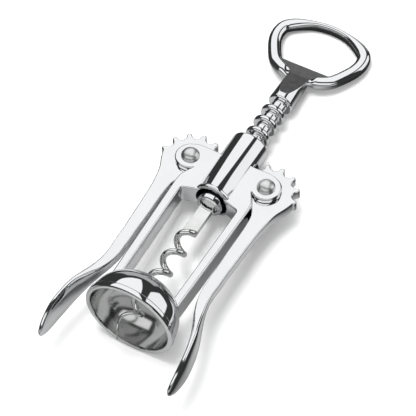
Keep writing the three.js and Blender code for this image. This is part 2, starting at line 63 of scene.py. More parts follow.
FRAME_HALF = 5.0
FRAME_BEVEL = 0.8
SLOT_HALF = 2.9
SLOT_PAINTED_SHADE_X = 14  # the gear slots take painted shade up to this far from the middle
BARREL_RADIUS = 8.9
BARREL_LIP = 9.2
BARREL_BORE = 7.0
MOUTH_RADIUS = 7.7
BARREL_LOW = 70.6
BARREL_TOP = 105.7
BARREL_LIP_ROUND = 1.0
BARREL_TOP_ROUND = 1.3
PIVOT_X = 18.9
PIVOT_Y = 85.0
EAR_RADIUS = 6.9
EAR_START = 1.05  # radians round the pivot
EAR_END = -2.35
EAR_STEPS = 40

RIVET_RADIUS = 3.0
RIVET_HOLE_FRAME = 3.05
RIVET_HOLE_LEVER = 3.06
RIVET_SEAT_GAP = 0.08
RIVET_DOME_RADIUS = 3.75
RIVET_DOME_HEIGHT = 1.9
THROUGH = 8  # half the length of a tool that cuts right through

LEVER_HALF = 2.5
LEVER_BEVEL = 0.7
GEAR_ROOT = 11.9
GEAR_TIP = 14.7
TOOTH_STEP = 28.5  # degrees
TOOTH_FIRST = -82.2  # degrees, from the handle's side of the pivot
TOOTH_COUNT = 7
TOOTH_ROUND = 1.2
GEAR_CLEARANCE = 0.5

RING_PITCH = 7.1
RING_COUNT = 8
RING_TOP = 126.0
RING_RADIUS = 5.9
RING_HALF = 1.5
RING_BULGE = 0.95
RING_FILLET = 0.25
CORE_RADIUS = 3.6
SPINDLE_LOW = 68.2
COLLAR_BORE = 4.3
TENON_RADIUS = 2.4
TENON_TOP = 144.0
SOCKET_RADIUS = 2.55

BEAD_WIDE = 3.05
BEAD_CROWN_WIDE = 1.7
BEAD_THICK = 2.7
BEAD_FOOT_X = 4.5  # the bead drops to the web between this and twice this from the middle
BEAD_FOOT_THINNING = 0.3
BEAD_SQUARENESS = 2.2
CROWN_LOW = 170
CROWN_HALF = 19
CROWN_FADE = 13
FOOT_TOP = 156
NECK_BASE = 132.2
NECK_RADIUS = 6
NECK_TOP_HALF = 5.2
NECK_EDGE = 0.7
NECK_TOP = 151.0
NECK_FLAT_LOW = 135.0
WEB_HALF = 1.1
CHORD_Y = 156.6

WIRE_RADIUS = 1.4
COIL_RADIUS = 3.3
COIL_PITCH = 11.8
COIL_RIGHT_Y = 40.2
COIL_TOP = 52.0
COIL_TIP = -10.0
COIL_EVEN_Y = 4.0  # below this the last turn opens out towards the tip
COIL_TAPER = 18
COIL_GATHER = 12
TIP_WIRE_SHARE = 0.2
TIP_COIL_SHARE = 0.35
TOP_COIL_SHARE = 0.6
SHANK_HALF_WIDE = 3.15
SHANK_HALF_THICK = 1.25
SHANK_LOW = 50.5
SHANK_TOP = 68.6
SHANK_BEVEL = 0.25
TANG_HALF = 2.3
TANG_TOP = 79

# ---------------------------------------------------------------- working frame to row frame

joints = {j["name"]: j for j in frame["record"]["behaviour"]["joints"]}
along = -Vector(joints["rack_slide"]["axis"])
front = Vector(joints["right_lever_swing"]["axis"])
across = Vector((1, 0, 0))
turn = Matrix((across, along, front)).transposed()
pivot = Vector(joints["right_lever_swing"]["pos_m"])
offset = pivot - turn @ (Vector((PIVOT_X, PIVOT_Y, 0)) * MM)
LIE = Matrix.Translation(offset) @ (turn * MM).to_4x4()


def place(obj):
    """Moves a mesh drawn in working millimetres into the row frame."""
    obj.data.transform(LIE)


# ---------------------------------------------------------------- mesh helpers

SAME_POINT = 1e-4
TINY = 1e-6
SLIVER = 0.004  # edges shorter than this are merged after a boolean
FEWEST_FACES = 100  # a boolean that leaves fewer has failed
BEVEL_STEPS = 5
MITRE_LIMIT = 1.4
SHARPEST_CORNER = 0.2
NEARLY_STRAIGHT = math.radians(176)
FILLET_SHARE = 0.45  # the most of an edge that one fillet may take


def mesh_object(name, verts, faces):
    mesh = bpy.data.meshes.new(name)
    mesh.from_pydata([tuple(v) for v in verts], [], faces)
    mesh.validate()
    obj = bpy.data.objects.new(name, mesh)
    bpy.context.scene.collection.objects.link(obj)
    tidy_normals(obj)
    return obj


def tidy_normals(obj):
    bm = bmesh.new()
    bm.from_mesh(obj.data)
    bmesh.ops.remove_doubles(bm, verts=bm.verts, dist=SAME_POINT)
    bmesh.ops.recalc_face_normals(bm, faces=bm.faces)
    bm.to_mesh(obj.data)
    bm.free()


def smooth(obj, angle):
    """Smooth shading that breaks where two faces meet at more than angle degrees."""
    obj.data.shade_smooth()
    obj.data.set_sharp_from_angle(angle=math.radians(angle))
    return obj


def finish(obj, *materials):
    """Gives a piece its materials. Faces keep the first one unless they are set to another."""
    obj.data.materials.clear()
    for material in materials:
        obj.data.materials.append(material)


def lathe(name, profile, sides=96, closed=False):
    """A piece turned about Y from (radius, y) pairs. closed joins the last pair to the first."""
    verts = []
    rows = []
    for r, y in profile:
        if r < TINY:
            rows.append([len(verts)])
            verts.append((0, y, 0))
            continue
        row = []
        for i in range(sides):
            a = 2 * math.pi * i / sides
            row.append(len(verts))
            verts.append((r * math.sin(a), y, r * math.cos(a)))
        rows.append(row)
    faces = []
    pairs = list(zip(rows, rows[1:]))
    if closed:
        pairs.append((rows[-1], rows[0]))
    for low, high in pairs:
        for i in range(sides):
            k = (i + 1) % sides
            corners = [low[i % len(low)], low[k % len(low)], high[k % len(high)], high[i % len(high)]]
            ring = []
            for c in corners:
                if c not in ring:
                    ring.append(c)
            if len(ring) > 2:
                faces.append(ring)
    return mesh_object(name, verts, faces)


def skin(name, rings, closed=False):
    """A surface through rings of equal length. closed joins the last ring to the first,
    otherwise both ends are capped."""
    count = len(rings[0])
    verts = [v for ring in rings for v in ring]
    faces = []
    last = len(rings) if closed else len(rings) - 1
    for i in range(last):
        n = (i + 1) % len(rings)
        for j in range(count):
            k = (j + 1) % count
            faces.append((i * count + j, i * count + k, n * count + k, n * count + j))
    if not closed:
        faces.append(tuple(range(count)))
        faces.append(tuple(range((len(rings) - 1) * count, len(rings) * count)))
    return mesh_object(name, verts, faces)


def section(centre, sideways, upwards, half_side, half_up, power, count):
    """A ring of points: an ellipse at power 2, squarer as the power grows."""
    ring = []
    for j in range(count):
        a = 2 * math.pi * j / count
        c, s = math.cos(a), math.sin(a)
        u = math.copysign(abs(c) ** (2 / power), c) * half_side
        v = math.copysign(abs(s) ** (2 / power), s) * half_up
        ring.append(centre + sideways * u + upwards * v)
    return ring


def inset(outline, amount):
    """The outline moved inwards by amount, each corner along its own bisector."""
    area = sum(a[0] * b[1] - b[0] * a[1] for a, b in zip(outline, outline[1:] + outline[:1]))
    turn_in = 1 if area > 0 else -1
    count = len(outline)
    moved = []
    for i, (x, y) in enumerate(outline):
        a = Vector(outline[i - 1])
        b = Vector(outline[(i + 1) % count])
        here = Vector((x, y))
        n1 = (here - a).normalized()
        n2 = (b - here).normalized()
        n1 = Vector((-n1.y, n1.x)) * turn_in
        n2 = Vector((-n2.y, n2.x)) * turn_in
        bisector = n1 + n2
        scale = min(MITRE_LIMIT, 2 / max(SHARPEST_CORNER, bisector.length_squared)) * amount
        moved.append((x + bisector.x * scale, y + bisector.y * scale))
    return moved


def plate(name, outline, low, high, bevel):
    """An outline in the XY plane given thickness, with its front and back edges rounded."""
    if not bevel:
        levels = [(0, low), (0, high)]
    else:
        arc = [math.pi / 2 * k / BEVEL_STEPS for k in range(BEVEL_STEPS + 1)]
        levels = [(bevel * (1 - math.sin(a)), low + bevel * (1 - math.cos(a))) for a in arc]
        levels += [(bevel * (1 - math.cos(a)), high - bevel * (1 - math.sin(a))) for a in arc]
    count = len(outline)
    verts = []
    for amount, z in levels:
        verts += [(x, y, z) for x, y in (inset(outline, amount) if amount > TINY else outline)]
    faces = [tuple(reversed(range(count))), tuple(range(len(verts) - count, len(verts)))]
    for level in range(len(levels) - 1):
        here = level * count
        above = here + count
        for i in range(count):
            k = (i + 1) % count
            faces.append((here + i, here + k, above + k, above + i))
    return mesh_object(name, verts, faces)


def boolean(obj, other, operation):
    """Joins or cuts obj with other, keeps the result in obj and removes other."""
    modifier = obj.modifiers.new("cut", "BOOLEAN")
    modifier.operation = operation
    modifier.solver = "EXACT"
    modifier.object = other
    graph = bpy.context.evaluated_depsgraph_get()
    result = bpy.data.meshes.new_from_object(obj.evaluated_get(graph))
    if len(result.polygons) < FEWEST_FACES:
        raise RuntimeError("the boolean on " + obj.name + " came back empty")
    shell = bmesh.new()
    shell.from_mesh(result)
    bmesh.ops.remove_doubles(shell, verts=shell.verts, dist=SLIVER)
    bmesh.ops.dissolve_degenerate(shell, edges=shell.edges, dist=SLIVER)
    shell.to_mesh(result)
    shell.free()
    obj.modifiers.clear()
    obj.data = result
    bpy.data.objects.remove(other)


def rod(name, axis, radius, low, high, at=(0, 0, 0), sides=64):
    """A round tool along the axis "y" or "z"."""
    obj = lathe(name, [(0, low), (radius, low), (radius, high), (0, high)], sides)
    if axis == "z":
        obj.data.transform(Matrix.Rotation(math.pi / 2, 4, "X"))
    obj.data.transform(Matrix.Translation(at))
    return obj


def flip_x(obj):
    obj.data.transform(Matrix.Scale(-1, 4, (1, 0, 0)))
    obj.data.flip_normals()
    return obj


def copy_of(obj, name):
    twin = bpy.data.objects.new(name, obj.data.copy())
    bpy.context.scene.collection.objects.link(twin)
    return twin


def fillet(points, radii, steps=5, closed=True):
    """Rounds an outline's corners, with one radius for each point."""
    result = []
    count = len(points)
    for i, p in enumerate(points):
        r = radii[i]
        if r <= 0 or (not closed and i in (0, count - 1)):
            result.append(tuple(p))
            continue
        here = Vector(p)
        before = Vector(points[i - 1]) - here
        after = Vector(points[(i + 1) % count]) - here
        angle = before.angle(after)
        if angle > NEARLY_STRAIGHT:
            result.append(tuple(p))
            continue
        reach = r / math.tan(angle / 2)
        limit = FILLET_SHARE * min(before.length, after.length)
        if reach > limit:
            reach = limit
            r = reach * math.tan(angle / 2)
        start = here + before.normalized() * reach
        end = here + after.normalized() * reach
        bisector = (before.normalized() + after.normalized()).normalized()
        middle = here + bisector * (r / math.sin(angle / 2))
        a0 = math.atan2(start.y - middle.y, start.x - middle.x)
        a1 = math.atan2(end.y - middle.y, end.x - middle.x)
        sweep = (a1 - a0 + math.pi) % (2 * math.pi) - math.pi
        for k in range(steps + 1):
            a = a0 + sweep * k / steps
            result.append((middle.x + r * math.cos(a), middle.y + r * math.sin(a)))
    return result


def spline(points, per_span, closed=False):
    """A centripetal curve through points (tuples of any length), as a list of tuples."""
    count = len(points)
    result = []
    spans = count if closed else count - 1

    def at(i):
        if closed:
            return points[i % count]
        return points[max(0, min(count - 1, i))]

    for i in range(spans):
        p0, p1, p2, p3 = at(i - 1), at(i), at(i + 1), at(i + 2)

        def gap(a, b):
            return max(SAME_POINT, math.dist(a[:2], b[:2]) ** 0.5)

        t0, t1 = 0.0, gap(p0, p1)
        t2 = t1 + gap(p1, p2)
        t3 = t2 + gap(p2, p3)
        for k in range(per_span):
            t = t1 + (t2 - t1) * k / per_span
            point = []
            for a, b, c, d in zip(p0, p1, p2, p3):
                a1 = (t1 - t) / (t1 - t0) * a + (t - t0) / (t1 - t0) * b
                a2 = (t2 - t) / (t2 - t1) * b + (t - t1) / (t2 - t1) * c
                a3 = (t3 - t) / (t3 - t2) * c + (t - t2) / (t3 - t2) * d
                b1 = (t2 - t) / (t2 - t0) * a1 + (t - t0) / (t2 - t0) * a2
                b2 = (t3 - t) / (t3 - t1) * a2 + (t - t1) / (t3 - t1) * a3
                point.append((t2 - t) / (t2 - t1) * b1 + (t - t1) / (t2 - t1) * b2)
            result.append(tuple(point))
    if not closed:
        result.append(tuple(points[-1]))
    return result


# ---------------------------------------------------------------- materials

CLOUD_RANGE = (0.3, 0.7)
PATCH_RANGE = (0.35, 0.65)
GRAIN_FINENESS = 9
RELIEF_DEPTH = 0.00003


def metal(name, colour, low, high, bump, scale, dark):
    """Plated metal: its roughness drifts between low and high, with a trace of waviness and
    fine wear, and dark tones the colour down in soft patches."""
    material = bpy.data.materials.new(name)
    material.use_nodes = True
    nodes = material.node_tree.nodes
    links = material.node_tree.links
    shader = nodes["Principled BSDF"]
    shader.inputs["Metallic"].default_value = 1.0
    coords = nodes.new("ShaderNodeTexCoord")
    cloud = nodes.new("ShaderNodeTexNoise")
    cloud.inputs["Scale"].default_value = scale
    cloud.inputs["Detail"].default_value = 6
    links.new(coords.outputs["Object"], cloud.inputs["Vector"])
    rough = nodes.new("ShaderNodeMapRange")
    rough.inputs["From Min"].default_value = CLOUD_RANGE[0]
    rough.inputs["From Max"].default_value = CLOUD_RANGE[1]
    rough.inputs["To Min"].default_value = low
    rough.inputs["To Max"].default_value = high
    links.new(cloud.outputs["Fac"], rough.inputs["Value"])
    links.new(rough.outputs["Result"], shader.inputs["Roughness"])
    tint = nodes.new("ShaderNodeValToRGB")
    shade = [c * (1 - dark) for c in colour]
    tint.color_ramp.elements[0].position = PATCH_RANGE[0]
    tint.color_ramp.elements[0].color = (*shade, 1)
    tint.color_ramp.elements[1].position = PATCH_RANGE[1]
    tint.color_ramp.elements[1].color = (*colour, 1)
    links.new(cloud.outputs["Fac"], tint.inputs["Fac"])
    links.new(tint.outputs["Color"], shader.inputs["Base Color"])
    grain = nodes.new("ShaderNodeTexNoise")
    grain.inputs["Scale"].default_value = scale * GRAIN_FINENESS
    grain.inputs["Detail"].default_value = 4
    links.new(coords.outputs["Object"], grain.inputs["Vector"])
    relief = nodes.new("ShaderNodeBump")
    relief.inputs["Strength"].default_value = bump
    relief.inputs["Distance"].default_value = RELIEF_DEPTH
    links.new(grain.outputs["Fac"], relief.inputs["Height"])
    links.new(relief.outputs["Normal"], shader.inputs["Normal"])
    return material


# name, colour, least and most roughness, bump, noise scale, how far the patches darken it
chrome = metal("cast_chrome", (0.86, 0.87, 0.88), 0.03, 0.07, 0.05, 60, 0.03)
turned_chrome = metal("turned_chrome", (0.84, 0.85, 0.86), 0.035, 0.09, 0.06, 90, 0.05)
bell_inside = metal("bell_inside_chrome", (0.66, 0.665, 0.66), 0.09, 0.17, 0.35, 60, 0.2)
# near black metal that paints shade into the frame's bore and gear slots and into the collar's bore
recess_painted_shade = metal("recess_painted_shade_metal", (0.09, 0.09, 0.09), 0.35, 0.5, 0.3, 150, 0.3)
rivet_chrome = metal("rivet_chrome", (0.84, 0.85, 0.85), 0.3, 0.38, 0.15, 120, 0.08)
satin = metal("satin_chrome", (0.185, 0.185, 0.185), 0.38, 0.55, 0.9, 420, 0.3)
wire_steel = metal("worm_steel", (0.84, 0.85, 0.84), 0.04, 0.1, 0.12, 160, 0.1)
# steel of the worm's cross pin; on the spindle's foot its darker colour is painted shade
steel_and_painted_shade = metal("pin_steel_and_painted_shade", (0.66, 0.67, 0.67), 0.2, 0.3, 0.2, 200, 0.1)

# ---------------------------------------------------------------- bell

def dome_radius(y, grow):
    """The dome's radius at a height, for a surface set out from the outside by grow."""
    radius = BELL_RADIUS - BELL_STEP + grow
    return radius * (1 - (y / (BELL_HEIGHT + grow)) ** BELL_FULLNESS) ** (1 / BELL_FULLNESS)


def dome_height(r, grow):
    """The dome's height at a radius, for the same surface."""
    radius = BELL_RADIUS - BELL_STEP + grow
    return (BELL_HEIGHT + grow) * (1 - (r / radius) ** BELL_FULLNESS) ** (1 / BELL_FULLNESS)


def dome_curve(grow, start, end_radius, steps=24):
    """The dome's profile, stepped by height up to where it flattens and by radius from there."""
    split = DOME_SPLIT * BELL_HEIGHT
    points = []
    for i in range(steps + 1):
        y = start + (split - start) * i / steps
        points.append((dome_radius(y, grow), y))
    edge = dome_radius(split, grow)
    for i in range(1, steps + 1):
        r = edge + (end_radius - edge) * i / steps
        points.append((r, dome_height(r, grow)))
    return points


def make_bell():
    outside = dome_curve(0, BELL_BAND + 0.35, BELL_HOLE + 0.3)
    inside = dome_curve(-BELL_WALL, 0.5, BELL_HOLE + 0.4)
    inside.reverse()
    lip = [
        (BELL_RADIUS - BELL_WALL - 0.1, 0.05),
        (BELL_RADIUS - BELL_WALL + 0.25, 0.0),
        (BELL_RADIUS - 0.45, 0.0),
        (BELL_RADIUS - 0.15, 0.1),
        (BELL_RADIUS, 0.4),
        (BELL_RADIUS, BELL_BAND - 0.2),
        (BELL_RADIUS - 0.08, BELL_BAND),
        (BELL_RADIUS - BELL_STEP + 0.02, BELL_BAND + 0.2),
    ]
    collar = [
        (BELL_HOLE, outside[-1][1] - 0.3),
        (BELL_HOLE, inside[0][1] + 0.3),
    ]
    obj = lathe("bell_cup", lip + outside + collar + inside, 160, closed=True)
    finish(obj, chrome, bell_inside)
    for face in obj.data.polygons:
        c = face.center
        radius = math.hypot(c.x, c.z)
        outward = face.normal.x * c.x + face.normal.z * c.z
        if outward < 0 or (face.normal.y < -0.3 and radius < BELL_RADIUS - BELL_WALL - 0.2):
            face.material_index = 1
    return smooth(obj, 30)


# ---------------------------------------------------------------- frame

def frame_outline():
    ear = []
    for i in range(EAR_STEPS + 1):
        a = EAR_START + (EAR_END - EAR_START) * i / EAR_STEPS
        ear.append((PIVOT_X + EAR_RADIUS * math.cos(a), PIVOT_Y + EAR_RADIUS * math.sin(a)))
    waist = fillet([
        ear[-1],
        (16.4, 77.3),
        (17.9, 74.2),
        (18.2, 70.0),
        (16.6, 8.0),
        (12.8, 8.0),
        (13.9, 68.0),
        (6.2, 70.2),
    ], [0, 0.9, 2.5, 2.5, 0, 0, 1.4, 0], closed=False)
    shoulder = spline([(6.2, 92.8), (9.5, 92.55), (12.5, 92.6), (16.5, 92.7), (19.4, 92.3)], 5)
    right = shoulder[:-1] + ear + waist[1:]
    left = [(-x, y) for x, y in reversed(right)]
    return right + left


def make_frame():
    body = plate("frame_casting", frame_outline(), -FRAME_HALF, FRAME_HALF, FRAME_BEVEL)
    lip = []
    for k in range(7):
        a = math.pi / 2 * k / 6
        lip.append((BARREL_LIP - BARREL_LIP_ROUND + BARREL_LIP_ROUND * math.sin(a),
                    BARREL_LOW + BARREL_LIP_ROUND - BARREL_LIP_ROUND * math.cos(a)))
    shoulder = []
    for k in range(8):
        a = math.pi / 2 * k / 7
        shoulder.append((BARREL_RADIUS - BARREL_TOP_ROUND + BARREL_TOP_ROUND * math.cos(a),
                         BARREL_TOP - BARREL_TOP_ROUND + BARREL_TOP_ROUND * math.sin(a)))
    barrel = lathe("barrel", [
        (BARREL_BORE - 1, BARREL_LOW),
        *lip,
        (BARREL_LIP, BARREL_LOW + 1.5),
        (BARREL_LIP - 0.1, BARREL_LOW + 1.9),
        (BARREL_RADIUS, BARREL_LOW + 2.3),
        *shoulder,
        (BARREL_BORE - 1, BARREL_TOP),
    ], 160, closed=True)
    boolean(body, barrel, "UNION")
    boolean(body, rod("bore", "y", BARREL_BORE, 58, 119, sides=160), "DIFFERENCE")
    mouth = [(0, BARREL_LOW - 4), (MOUTH_RADIUS, BARREL_LOW - 4), (MOUTH_RADIUS, BARREL_LOW + 0.2),
             (BARREL_BORE - 0.2, BARREL_LOW + 2.2), (0, BARREL_LOW + 2.2)]
    boolean(body, lathe("mouth", mouth, 160), "DIFFERENCE")
    for sign in (-1, 1):
        at = (sign * PIVOT_X, PIVOT_Y, 0)
        slot = rod("slot", "z", GEAR_TIP + GEAR_CLEARANCE, -SLOT_HALF, SLOT_HALF, at, 128)
        boolean(body, slot, "DIFFERENCE")
        boolean(body, rod("hole", "z", RIVET_HOLE_FRAME, -THROUGH, THROUGH, at, 64), "DIFFERENCE")
    dome = [(0, -2), (BELL_RADIUS, -2), *dome_curve(BELL_GAP, 0.01, 1.0), (0, dome_height(0, BELL_GAP))]
    boolean(body, lathe("dome", dome, 160), "DIFFERENCE")
    finish(body, chrome, recess_painted_shade)
    # the bore, the barrel's mouth and the gear slots near the middle take the dark recess metal:
    # painted shade
    for face in body.data.polygons:
        c = face.center
        from_axis = math.hypot(c.x, c.z)
        in_bore = from_axis < MOUTH_RADIUS + 0.02 and BARREL_LOW + 0.05 < c.y < BARREL_TOP - 0.05
        from_pivot = math.hypot(abs(c.x) - PIVOT_X, c.y - PIVOT_Y)
        in_slot = abs(c.z) < SLOT_HALF + 0.02 and from_pivot < GEAR_TIP + 0.6 and abs(c.x) < SLOT_PAINTED_SHADE_X
        if in_bore or in_slot:
            face.material_index = 1
    return smooth(body, 28)


# ---------------------------------------------------------------- levers

def gear_point(angle, radius, sideways):
    """A point on the right lever's gear, from an angle in degrees, a radius and a shift across."""
    a = math.radians(angle)
    return (PIVOT_X + radius * math.sin(a) + sideways * math.cos(a),
            PIVOT_Y + radius * math.cos(a) - sideways * math.sin(a))


def lever_outline():
    points = []
    flank = [(-2.35, GEAR_ROOT - 0.2), (-1.75, GEAR_ROOT + 0.1), (-1.42, GEAR_ROOT + 0.7)]
    for i in range(TOOTH_COUNT):
        angle = TOOTH_FIRST + TOOTH_STEP * i
        points += [gear_point(angle, r, s) for s, r in flank]
        for k in range(11):
            a = math.pi - math.pi * k / 10
            up = GEAR_TIP - TOOTH_ROUND + TOOTH_ROUND * math.sin(a)
            points.append(gear_point(angle, up, TOOTH_ROUND * math.cos(a)))
        if i < TOOTH_COUNT - 1:
            points += [gear_point(angle, r, -s) for s, r in reversed(flank)]
            for k in range(1, 4):
                points.append(gear_point(angle + TOOTH_STEP * (0.4 + 0.05 * k), GEAR_ROOT - 0.22, 0))
    outer = [points[-1], (31.2, 80.2), (28.9, 74.6), (27.4, 67), (26.6, 57), (26.1, 46), (25.6, 36)]
    inner = [(20.0, 36), (19.9, 50), (20.0, 64), (19.4, 70), (17.8, 73.4)]
    points += spline(outer, 5)[1:] + spline(inner, 5)[:-1]
    for k in range(13):
        points.append(gear_point(-176 + 6.2 * k, GEAR_ROOT, 0))
    return points


# middle of the arm (x, y, z), half size across the lever, half size front to back, squareness
ARM_STATIONS = [
    (22.83, 38.0, 0.0, 2.93, 2.53, 9.0),
    (22.81, 34.5, 0.0, 2.89, 2.52, 9.0),
    (22.8, 31.0, 0.0, 2.84, 2.5, 9.0),
    (22.75, 27.0, 0.0, 2.75, 2.5, 8.0),
    (23.4, 21.5, 0.0, 2.55, 2.55, 6.0),
    (24.9, 16.0, -0.3, 2.3, 3.2, 4.5),
    (27.0, 10.5, -1.0, 2.05, 5.0, 3.2),
    (29.2, 4.5, -2.0, 1.9, 6.9, 2.7),
    (30.6, -2.0, -3.0, 1.8, 7.7, 2.5),
    (31.4, -8.5, -3.8, 1.7, 7.5, 2.5),
    (31.5, -13.0, -4.3, 1.55, 6.5, 2.5),
    (31.4, -16.8, -4.7, 1.4, 5.0, 2.4),
    (31.2, -19.4, -4.9, 1.15, 3.2, 2.2),
    (31.1, -20.7, -5.0, 0.8, 1.9, 2.1),
    (31.05, -21.2, -5.0, 0.35, 0.8, 2.0),
]


def make_arm(name):
    stations = spline(ARM_STATIONS, 7)
    front_z = Vector((0, 0, 1))
    rings = []
    for i, (x, y, z, wide, deep, power) in enumerate(stations):
        a = stations[max(0, i - 1)]
        b = stations[min(len(stations) - 1, i + 1)]
        way = Vector((b[0] - a[0], b[1] - a[1], 0)).normalized()
        rings.append(section(Vector((x, y, z)), way.cross(front_z), front_z, wide, deep, power, 48))
    return skin(name, rings)


def make_lever(name):
    gear = plate(name, lever_outline(), -LEVER_HALF, LEVER_HALF, LEVER_BEVEL)
    boolean(gear, make_arm("arm"), "UNION")
    hole = rod("hole", "z", RIVET_HOLE_LEVER, -THROUGH, THROUGH, (PIVOT_X, PIVOT_Y, 0), 64)
    boolean(gear, hole, "DIFFERENCE")
    finish(gear, chrome)
    return smooth(gear, 28)


# ---------------------------------------------------------------- rivets

def make_rivet(name):
    seat = FRAME_HALF + RIVET_SEAT_GAP
    half = [
        (RIVET_RADIUS, 0), (RIVET_RADIUS, seat), (3.95, seat),
        (4.08, seat + 0.1), (4.1, seat + 0.35), (4.0, seat + 0.6),
    ]
    for k in range(15):
        a = math.pi / 2 * k / 14
        half.append((RIVET_DOME_RADIUS * math.cos(a), seat + 0.75 + RIVET_DOME_HEIGHT * math.sin(a)))
    half[-1] = (0, half[-1][1])
    profile = [(r, -y) for r, y in reversed(half)][:-1] + half[1:]
    obj = lathe(name, profile, 72)
    obj.data.transform(Matrix.Rotation(math.pi / 2, 4, "X"))
    obj.data.transform(Matrix.Translation((PIVOT_X, PIVOT_Y, 0)))
    finish(obj, rivet_chrome)
    return smooth(obj, 40)


# ---------------------------------------------------------------- spindle

def make_spindle():
    profile = [
        (0, SPINDLE_LOW), (3.9, SPINDLE_LOW), (4.1, 68.4),
        (4.1, 69.5), (3.9, 69.7), (CORE_RADIUS, 69.7),
    ]
    for i in reversed(range(RING_COUNT)):
        y = RING_TOP - RING_PITCH * i
        profile.append((CORE_RADIUS, y - RING_HALF - RING_FILLET))
        profile.append((CORE_RADIUS + RING_FILLET, y - RING_HALF))
        for k in range(11):
            a = -math.pi / 2 + math.pi * k / 10
            r = RING_RADIUS - RING_BULGE + RING_BULGE * math.cos(a)
            profile.append((r, y + RING_HALF * math.sin(a)))
        profile.append((CORE_RADIUS + RING_FILLET, y + RING_HALF))
        profile.append((CORE_RADIUS, y + RING_HALF + RING_FILLET))
    foot = NECK_BASE - 0.25
    profile += [
        (CORE_RADIUS, foot), (TENON_RADIUS, foot),
        (TENON_RADIUS, 143.7), (2.1, TENON_TOP), (0, TENON_TOP),
    ]
    obj = lathe("ringed_spindle", profile, 96)
    finish(obj, turned_chrome, steel_and_painted_shade)
    # the foot, deep in the collar, takes the darker pin steel, rougher and darker in colour: painted
    # shade
    for face in obj.data.polygons:
        if face.center.y < 69:
            face.material_index = 1
    return smooth(obj, 40)


def make_collar():
    obj = lathe("stop_ring", [
        (COLLAR_BORE, 67.7), (4.5, 67.5), (5.45, 67.5), (5.75, 67.6), (5.9, 67.9),
        (5.9, 71.9), (5.6, 72.2), (3.8, 72.2), (3.8, 70.0), (COLLAR_BORE, 70.0),
    ], 96, closed=True)
    finish(obj, turned_chrome, recess_painted_shade)
    # the collar's bore takes the dark recess metal: painted shade
    for face in obj.data.polygons:
        if math.hypot(face.center.x, face.center.z) < COLLAR_BORE + 0.08:
            face.material_index = 1
    return smooth(obj, 40)


# ---------------------------------------------------------------- handle

BEAD_HALF_LINE = [
    (5.9, 150.6), (10.9, 152.6), (14.3, 155.0), (18.2, 160.8), (20.7, 166.2),
    (21.4, 171.0), (20.3, 175.3), (16.4, 178.6), (8.7, 181.8), (0.0, 183.0),
]


def bead_line():
    """The loop's middle line, from the right foot round the far side to the left foot."""
    left = [(-x, y) for x, y in reversed(BEAD_HALF_LINE[:-1])]
    return spline(BEAD_HALF_LINE + left + [(0.0, 149.4)], 12, closed=True)


def ease(value):
    value = min(1, max(0, value))
    return value * value * (3 - 2 * value)


def make_bead():
    """The loop's round rim, narrow across its far side and dropping to the web over the neck."""
    line = bead_line()
    front_z = Vector((0, 0, 1))
    rings = []
    for i, (x, y) in enumerate(line):
        a = line[i - 1]
        b = line[(i + 1) % len(line)]
        way = Vector((b[0] - a[0], b[1] - a[1], 0)).normalized()
        crown = ease((CROWN_HALF - abs(x)) / CROWN_FADE) if y > CROWN_LOW else 0
        foot = 1 - ease((abs(x) - BEAD_FOOT_X) / BEAD_FOOT_X) if y < FOOT_TOP else 0
        wide = BEAD_WIDE + (BEAD_CROWN_WIDE - BEAD_WIDE) * crown
        wide *= 1 - BEAD_FOOT_THINNING * foot
        thick = BEAD_THICK + (WEB_HALF - BEAD_THICK) * foot
        at = Vector((x, y, 0))
        rings.append(section(at, way.cross(front_z), front_z, wide, thick, BEAD_SQUARENESS, 48))
    return skin("handle_bead", rings, closed=True)


def neck_flat(y):
    """Height of the neck's front flat above its middle plane."""
    down = min(1, max(0, (y - NECK_FLAT_LOW) / (NECK_TOP - NECK_FLAT_LOW)))
    return NECK_RADIUS + (WEB_HALF - NECK_RADIUS) * down


def make_neck():
    rings = []
    steps = 44
    for i in range(steps + 1):
        t = i / steps
        y = NECK_BASE + (NECK_TOP - NECK_BASE) * t
        edge = NECK_EDGE * (1 - math.sin(math.pi / 2 * min(1, (y - NECK_BASE) / 0.8)))
        wide = NECK_RADIUS + (NECK_TOP_HALF - NECK_RADIUS) * t - edge
        deep = NECK_RADIUS - edge
        ring = section(Vector((0, y, 0)), Vector((1, 0, 0)), Vector((0, 0, -1)), wide, deep, 2, 96)
        flat = neck_flat(y)
        for p in ring:
            p.z = max(-flat, min(flat, p.z))
        rings.append(ring)
    return skin("neck", rings)


def make_web():
    line = [p for p in bead_line() if p[1] < CHORD_Y - 0.1]
    run = sorted(line, key=lambda p: -p[0])
    outline = run + [(run[-1][0], CHORD_Y), (run[0][0], CHORD_Y)]
    return plate("web", outline, -WEB_HALF, WEB_HALF, 0)


def make_handle():
    obj = make_bead()
    boolean(obj, make_neck(), "UNION")
    boolean(obj, make_web(), "UNION")
    boolean(obj, rod("socket", "y", SOCKET_RADIUS, 130, TENON_TOP + 0.3), "DIFFERENCE")
    finish(obj, chrome, satin)
    for face in obj.data.polygons:
        c = face.center
        on_web = abs(abs(c.z) - WEB_HALF) < 0.05 and c.y > 145
        at_flat = abs(abs(c.z) - neck_flat(c.y)) < 0.1
        on_neck = NECK_FLAT_LOW < c.y < NECK_TOP and at_flat and abs(c.x) < 5.3
        on_foot = c.y < 154 and abs(c.x) < 4.4 and c.y > 146
        if abs(face.normal.z) > 0.9 and (on_web or on_neck or on_foot):
            face.material_index = 1
    return smooth(obj, 30)


# ---------------------------------------------------------------- worm

